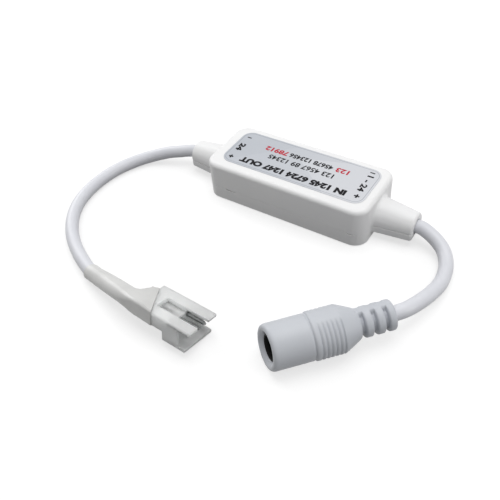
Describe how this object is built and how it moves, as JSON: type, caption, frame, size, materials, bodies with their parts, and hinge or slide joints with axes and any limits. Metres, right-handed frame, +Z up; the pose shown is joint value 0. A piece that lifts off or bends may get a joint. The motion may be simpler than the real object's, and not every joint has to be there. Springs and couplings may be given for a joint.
{
  "type": "led_strip_controller",
  "caption": "In-line radio controller for addressable LED strips, with a barrel jack input cord and a three-pin output cord",
  "frame": {"origin": "centre of the underside of the housing, on the surface that it rests on", "axes": "+X along the housing from the output cord to the input cord, +Y towards the side away from the two cord ends, +Z up out of the labelled face"},
  "size_m": [0.1076, 0.0718, 0.0119],
  "materials": {
    "shell_white": "satin",
    "label_silver": "satin",
    "board_green": "satin",
    "chip_black": "matte",
    "can_metal": "satin",
    "capacitor_sleeve": "gloss",
    "ceramic_tan": "matte",
    "copper_wire": "gloss",
    "wire_red": "satin",
    "wire_black": "satin",
    "wire_green": "satin",
    "wire_white": "satin",
    "solder": "satin",
    "cord_white": "satin",
    "jack_white": "satin",
    "insert_black": "matte",
    "contact_metal": "polished",
    "nylon_natural": "satin"
  },
  "bodies": {
    "root": {"upper_shell": "shell_white", "lower_shell": "shell_white", "label": "label_silver", "circuit_board": "board_green", "control_chip": "chip_black", "radio_chip": "chip_black", "crystal": "can_metal", "voltage_regulator": "chip_black", "input_capacitor": "capacitor_sleeve", "protection_diode": "chip_black", "driver_transistor": "chip_black", "ceramic_capacitors": "ceramic_tan", "resistors": "chip_black", "antenna_wire": "copper_wire", "input_wire_positive": "wire_red", "input_wire_negative": "wire_black", "output_wire_positive": "wire_red", "output_wire_data": "wire_green", "output_wire_ground": "wire_white", "solder_joints": "solder", "input_cord_entry": "cord_white", "output_cord_entry": "cord_white", "input_cord": "cord_white", "output_cord": "cord_white", "jack_body": "jack_white", "jack_insert": "insert_black", "jack_centre_pin": "contact_metal", "jack_spring_contact": "contact_metal", "output_sleeve": "cord_white", "tail_wire_positive": "wire_white", "tail_wire_data": "wire_white", "tail_wire_ground": "wire_white", "connector_housing": "nylon_natural", "connector_pin_positive": "contact_metal", "connector_pin_data": "contact_metal", "connector_pin_ground": "contact_metal"}
  },
  "joints": []
}
